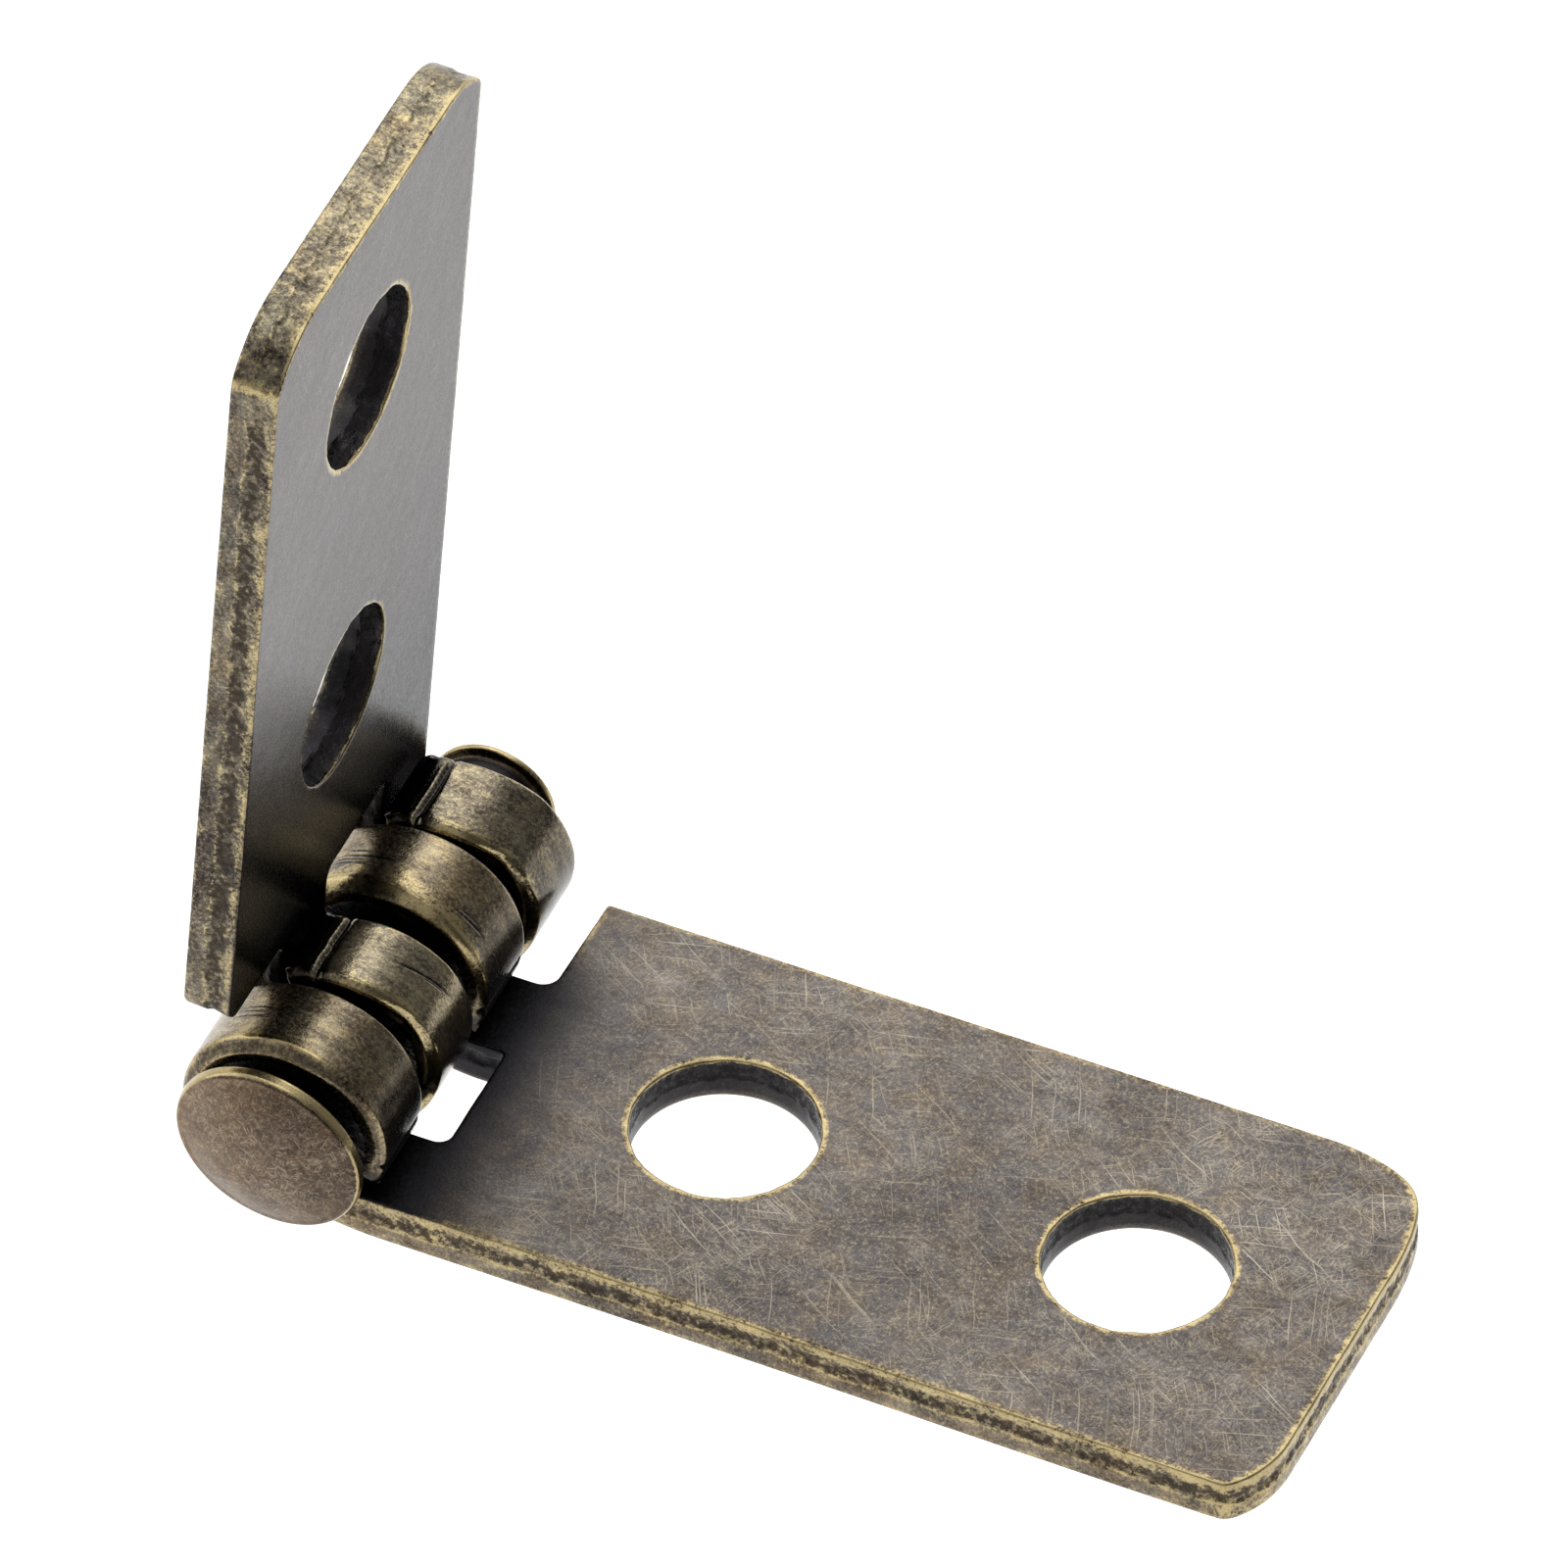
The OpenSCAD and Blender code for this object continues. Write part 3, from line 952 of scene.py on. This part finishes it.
def aged_brass(
    name, patina, on_back, on_barrel, scratch, roughness_range, score_lines=(), fine=HAIRLINES, grazing=1.0
):
    """Antiqued brass: dark patina with hairline scratches, worn bare along edges and shoulders.
    The mesh's attributes place it: blank (coordinates), wear (bare brass), grime_and_shade (painted shade
    in recesses, between the parts and on one side of the barrel, and darker tool marks and holes), broken
    (torn band), barrel (1 on the knuckles), tone_and_painted_light (lighter or darker patina, partly
    painted shade and highlights), mottle (unevenness of the patina) and lined (how scratched)."""
    # the attributes and the noises that everything below shares
    material = bpy.data.materials.new(name)
    n = Nodes(material)
    where = n.attribute("blank", "Vector")
    wear = n.attribute("wear")
    grime_and_shade = n.attribute("grime_and_shade")
    broken = n.attribute("broken")
    barrel = n.attribute("barrel")
    tone_and_painted_light = n.attribute("tone_and_painted_light")
    mottle = n.attribute("mottle")
    broad = n.noise(where, 0.32, 4.0, 0.6, 0.4)
    drawn = n.new("VectorMath", {0: where, 1: (0.55, 1.25, 1.0)}, operation="MULTIPLY").outputs[0]
    middle = n.noise(drawn, 2.2, 5.0, 0.62, 0.3)
    grain = n.noise(where, 9.0, 3.0, 0.6)
    speck = n.noise(where, 22.0, 2.0, 0.6)
    edge = n.span(wear, 0.16, 0.32)
    rounded = n.math("MAXIMUM", barrel, edge)
    flat = n.math("MULTIPLY_ADD", rounded, -1.0, 1.0)

    # patina: its tone, then its hue
    varied = n.math("MULTIPLY", n.math("SUBTRACT", broad, 0.5), 0.6)
    for noise, on_flat, on_round in ((middle, 0.60, 1.15), (grain, 0.65, 0.95), (speck, 0.60, 0.75)):
        amount = n.math("MULTIPLY_ADD", rounded, on_round, n.math("MULTIPLY", flat, on_flat))
        varied = n.math("MULTIPLY_ADD", n.math("SUBTRACT", noise, 0.5), amount, varied)
    strong = n.math("MAXIMUM", rounded, mottle)
    tone = n.math("MULTIPLY_ADD", varied, strong, n.math("ADD", tone_and_painted_light, 0.5))
    patina_colour = n.mix(n.span(mottle, 0.3, 0.8), n.ramp(tone, patina), n.ramp(tone, on_back))
    patina_colour = n.mix(rounded, patina_colour, n.ramp(tone, on_barrel))
    hue = n.ramp(n.noise(where, 0.9, 4.0, 0.65, 0.4), HUES)
    patina_colour = n.mix(mottle, patina_colour, hue, "MULTIPLY")

    # creases and stains in the patina, and bright scratches through it
    bend = n.new("TexNoise", {"Vector": where, "Scale": 0.35, "Detail": 2.0}).outputs[1]
    bent = n.new("VectorMath", {0: bend, 1: (0.55, 0.55, 0), 2: where}, operation="MULTIPLY_ADD")
    lines = hairlines(n, bent.outputs[0], fine)
    patches = n.math("MULTIPLY", n.span(broad, 0.40, 0.62, 0.45, 1.0), n.attribute("lined"))
    creases = n.math("MULTIPLY", hairlines(n, bent.outputs[0], DARK_LINES), n.attribute("lined"))
    creases = n.math("MULTIPLY", creases, n.math("MULTIPLY", mottle, 0.45))
    patina_colour = n.mix(creases, patina_colour, (0.030, 0.025, 0.024, 1))
    stain = n.span(n.noise(where, 2.6, 4.0, 0.7, 0.5), 0.57, 0.70)
    patina_colour = n.mix(
        n.math("MULTIPLY", stain, n.math("MULTIPLY", mottle, 0.42)), patina_colour, (0.050, 0.036, 0.028, 1)
    )
    scratches = n.math("MULTIPLY", lines, n.math("MULTIPLY", patches, scratch))
    scratches = n.math("MULTIPLY", scratches, n.span(wear, 0.25, 0.5, 1.0, 0.0))

    # bare brass on the rubbed places and in fine grains, and the torn band, which has none
    brass_colour = n.ramp(n.math("MULTIPLY_ADD", speck, 0.5, n.math("MULTIPLY", middle, 0.5)), BRASS)
    uneven = n.math("MULTIPLY_ADD", n.math("SUBTRACT", middle, 0.5), 1.0, wear)
    uneven = n.math("MULTIPLY_ADD", n.math("SUBTRACT", grain, 0.5), 1.3, uneven)
    uneven = n.math("MULTIPLY_ADD", n.math("SUBTRACT", speck, 0.5), 0.7, uneven)
    bare = n.math("MULTIPLY", n.span(uneven, 0.38, 0.85), n.span(wear, 0.0, 0.2))
    lumps = n.noise(where, 5.5, 2.0, 0.6)
    torn = n.math("MULTIPLY_ADD", n.math("SUBTRACT", lumps, 0.5), 2.2, n.math("MULTIPLY", broken, 0.66))
    torn = n.math("MULTIPLY_ADD", n.math("SUBTRACT", speck, 0.5), 1.1, torn)
    torn = n.math("MULTIPLY", n.span(torn, 0.40, 0.72), n.span(broken, 0.0, 0.25))
    grains = n.span(n.math("MULTIPLY_ADD", grain, 0.7, n.math("MULTIPLY", speck, 0.5)), 0.645, 0.72)
    often = n.math("MAXIMUM", n.math("MULTIPLY", barrel, 0.35), n.math("MULTIPLY", mottle, 0.25))
    grains = n.math("MULTIPLY", grains, often)
    bare = n.math("MAXIMUM", bare, grains)
    # painted shade and dirt also hide the bare brass and the bright scratches
    clean_and_unshaded = n.math("MULTIPLY_ADD", grime_and_shade, -0.75, 1.0)
    bare = n.math("MULTIPLY", bare, clean_and_unshaded)
    colour = n.mix(bare, patina_colour, brass_colour)
    colour = n.mix(n.math("MULTIPLY", scratches, clean_and_unshaded), colour, (0.50, 0.44, 0.33, 1))
    colour = n.mix(n.math("MULTIPLY", torn, 0.85), colour, (0.034, 0.026, 0.019, 1))

    # painted shade in the recesses, between the parts and on one side of the barrel, darker tool marks and
    # holes, and dirt in the scored lines
    marks = scores(n, where, score_lines)
    if marks is not None:
        grime_and_shade = n.math("MAXIMUM", grime_and_shade, marks)
    dirt_and_shade = n.math("MULTIPLY", grime_and_shade, n.math("MULTIPLY_ADD", bare, -0.5, 0.95))
    # the dark colour of the painted shade and of the dirt
    colour = n.mix(dirt_and_shade, colour, (0.014, 0.0135, 0.016, 1))

    # gloss and fine relief
    roughness = n.span(grain, 0.3, 0.7, *roughness_range)
    roughness = n.math("MULTIPLY_ADD", torn, 0.2, roughness)
    roughness = n.math("MULTIPLY_ADD", bare, -0.08, roughness)
    roughness = n.math("MULTIPLY_ADD", barrel, -0.13, roughness)
    height = n.math("MULTIPLY_ADD", grain, 0.6, n.math("MULTIPLY", speck, 0.35))
    height = n.math("MULTIPLY_ADD", scratches, -0.35, height)
    height = n.math("MULTIPLY_ADD", n.math("MULTIPLY", broken, lumps), 2.5, height)
    if marks is not None:
        height = n.math("MULTIPLY_ADD", marks, -2.0, height)
    bump = n.new("Bump", {"Height": height, "Strength": 0.35, "Distance": 0.00002})
    shader = n.new(
        "BsdfPrincipled",
        {
            "Base Color": colour,
            "Metallic": 1.0,
            "Specular Tint": (grazing, grazing, grazing, 1),
            "Roughness": roughness,
            "Normal": bump.outputs[0],
        },
    )
    n.new("OutputMaterial", {0: shader.outputs[0]})
    return material


# Colours from the darkest places to the lightest
PATINA_LEAF = (
    (0.10, (0.032, 0.028, 0.028)),
    (0.38, (0.086, 0.075, 0.070)),
    (0.62, (0.146, 0.128, 0.116)),
    (0.90, (0.240, 0.212, 0.182)),
)
PATINA_SWING = (
    (0.10, (0.036, 0.028, 0.022)),
    (0.38, (0.068, 0.058, 0.060)),
    (0.62, (0.088, 0.077, 0.080)),
    (0.90, (0.122, 0.106, 0.104)),
)
PATINA_WARM = (
    (0.10, (0.028, 0.021, 0.015)),
    (0.38, (0.130, 0.103, 0.073)),
    (0.62, (0.275, 0.220, 0.138)),
    (0.90, (0.490, 0.400, 0.220)),
)
PATINA_COOL = (
    (0.10, (0.022, 0.018, 0.017)),
    (0.38, (0.108, 0.091, 0.068)),
    (0.62, (0.235, 0.200, 0.138)),
    (0.90, (0.420, 0.355, 0.205)),
)
PATINA_HEAD = (
    (0.10, (0.036, 0.024, 0.018)),
    (0.38, (0.096, 0.068, 0.050)),
    (0.62, (0.164, 0.117, 0.084)),
    (0.90, (0.310, 0.232, 0.145)),
)
HUES = (
    (0.36, (0.95, 1.00, 1.05)),
    (0.50, (1.00, 1.00, 1.00)),
    (0.64, (1.07, 1.00, 0.88)),
)
BRASS = (
    (0.25, (0.23, 0.175, 0.088)),
    (0.55, (0.42, 0.338, 0.175)),
    (0.80, (0.60, 0.500, 0.275)),
)


# ---------------------------------------------------------------- studio
FLOOR_Z = -22.5  # clear of the swing leaf when it points straight down


def studio():
    """Plain pale floor, soft lights and the camera at the picture's viewing angle."""
    scene = bpy.context.scene
    scene.view_settings.view_transform = "Standard"
    scene.view_settings.look = "None"
    size = 400 * MM
    mesh = bpy.data.meshes.new("floor")
    mesh.from_pydata(
        [(-size, -size, 0), (size, -size, 0), (size, size, 0), (-size, size, 0)],
        [],
        [(0, 1, 2, 3)],
    )
    floor = bpy.data.objects.new("floor", mesh)
    floor.location.z = FLOOR_Z * MM
    scene.collection.objects.link(floor)
    pale = bpy.data.materials.new("pale_floor")
    n = Nodes(pale)
    shader = n.new(
        "BsdfPrincipled",
        {
            "Base Color": (0.5, 0.5, 0.5, 1),
            "Roughness": 0.9,
            "Emission Color": (1, 1, 1, 1),
            "Emission Strength": 0.92,
        },
    )
    n.new("OutputMaterial", {0: shader.outputs[0]})
    mesh.materials.append(pale)

    # brighter ahead and overhead, darker to the right
    world = bpy.data.worlds.new("studio")
    n = Nodes(world)
    where = n.new("TexCoord").outputs["Generated"]
    ahead = n.new("VectorMath", {0: where, 1: (0.0, 1.0, 0.0)}, operation="DOT_PRODUCT")
    strength = n.span(ahead.outputs["Value"], -0.60, 0.50, 0.50, 1.20)
    over = n.new("VectorMath", {0: where, 1: (0.0, 0.0, 1.0)}, operation="DOT_PRODUCT")
    strength = n.math("MAXIMUM", strength, n.span(over.outputs["Value"], 0.2, 0.6, 0.0, 0.62))
    side = n.new("VectorMath", {0: where, 1: (1.0, 0.0, 0.0)}, operation="DOT_PRODUCT")
    shade = n.span(side.outputs["Value"], 0.08, 0.60, 1.0, 0.24)
    strength = n.math("MULTIPLY", strength, shade)
    backdrop = n.new("Background", {"Color": (1, 1, 1, 1), "Strength": strength})
    n.new("OutputWorld", {0: backdrop.outputs[0]})
    scene.world = world

    def area(name, place, aim, width, height, watts):
        light = bpy.data.lights.new(name, "AREA")
        light.shape = "RECTANGLE"
        light.size, light.size_y = width * MM, height * MM
        light.energy = watts
        obj = bpy.data.objects.new(name, light)
        obj.location = Vector(place) * MM
        direction = Vector(aim) * MM - obj.location
        obj.rotation_euler = direction.to_track_quat("-Z", "Y").to_euler()
        obj.visible_camera = False
        scene.collection.objects.link(obj)

    area("back_box", (-90, 220, 240), (0, 0, 5), 300, 200, 0.20)
    area("top_box", (-20, -20, 330), (0, 0, 5), 220, 160, 0.12)
    area("left_box", (-260, -60, 130), (0, 0, 8), 160, 180, 0.10)

    camera_data = bpy.data.cameras.new("camera")
    camera_data.lens = 859.5
    camera_data.sensor_width = 36
    camera_data.clip_end = 10
    camera = bpy.data.objects.new("camera", camera_data)
    # the camera's own axes and its place
    right = (0.91413, 0.40508, 0.01670)
    up = (-0.29540, 0.63727, 0.71177)
    back = (0.27768, -0.65559, 0.70221)
    at = (229.58 * MM, -551.12 * MM, 603.00 * MM)
    camera.matrix_world = Matrix(
        [
            (right[0], up[0], back[0], at[0]),
            (right[1], up[1], back[1], at[1]),
            (right[2], up[2], back[2], at[2]),
            (0, 0, 0, 1),
        ]
    )
    scene.collection.objects.link(camera)
    scene.camera = camera


def finish_piece(obj, node, body, material):
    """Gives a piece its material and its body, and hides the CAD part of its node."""
    obj.data.materials.append(material)
    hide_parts(node)
    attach(obj, body)


# Scored lines on the knuckles' outer faces: from (s, y), to (s, y), half width
FIXED_SCORES = (
    ((around(57), 6.20), (around(30), 6.32), 0.060),
    ((around(52), 6.33), (around(36), 6.42), 0.040),
    ((around(133), 6.42), (around(98), 6.36), 0.055),
    ((around(131), 6.55), (around(104), 6.50), 0.040),
    ((around(129), 6.68), (around(92), 6.60), 0.050),
    ((around(126), 6.86), (around(106), 6.80), 0.035),
    ((around(131), 1.02), (around(104), 1.00), 0.045),
    ((around(128), 1.20), (around(108), 1.16), 0.035),
    ((around(126), 1.34), (around(102), 1.30), 0.035),
)
SWING_SCORES = (
    ((around(60), 6.42), (around(20), 6.78), 0.075),
    ((around(54), 6.55), (around(38), 6.70), 0.040),
)

studio()
leaf_metal = aged_brass(
    "aged_brass_leaf", PATINA_LEAF, PATINA_LEAF, PATINA_WARM, 0.66, (0.30, 0.44), FIXED_SCORES
)
swing_metal = aged_brass(
    "aged_brass_swing",
    PATINA_SWING,
    PATINA_LEAF,
    PATINA_COOL,
    0.25,
    (0.22, 0.32),
    SWING_SCORES,
    grazing=0.9,
)
pin_metal = aged_brass(
    "aged_brass_pin", PATINA_HEAD, PATINA_HEAD, PATINA_WARM, 0.75, (0.24, 0.36), fine=HEAD_LINES
)
finish_piece(build_leaf(FIXED, place_fixed), "fixed_leaf", "fixed_side", leaf_metal)
finish_piece(build_leaf(SWING, place_swing), "swing_leaf", "swing_side", swing_metal)
finish_piece(build_pin(), "pin", "rivet", pin_metal)
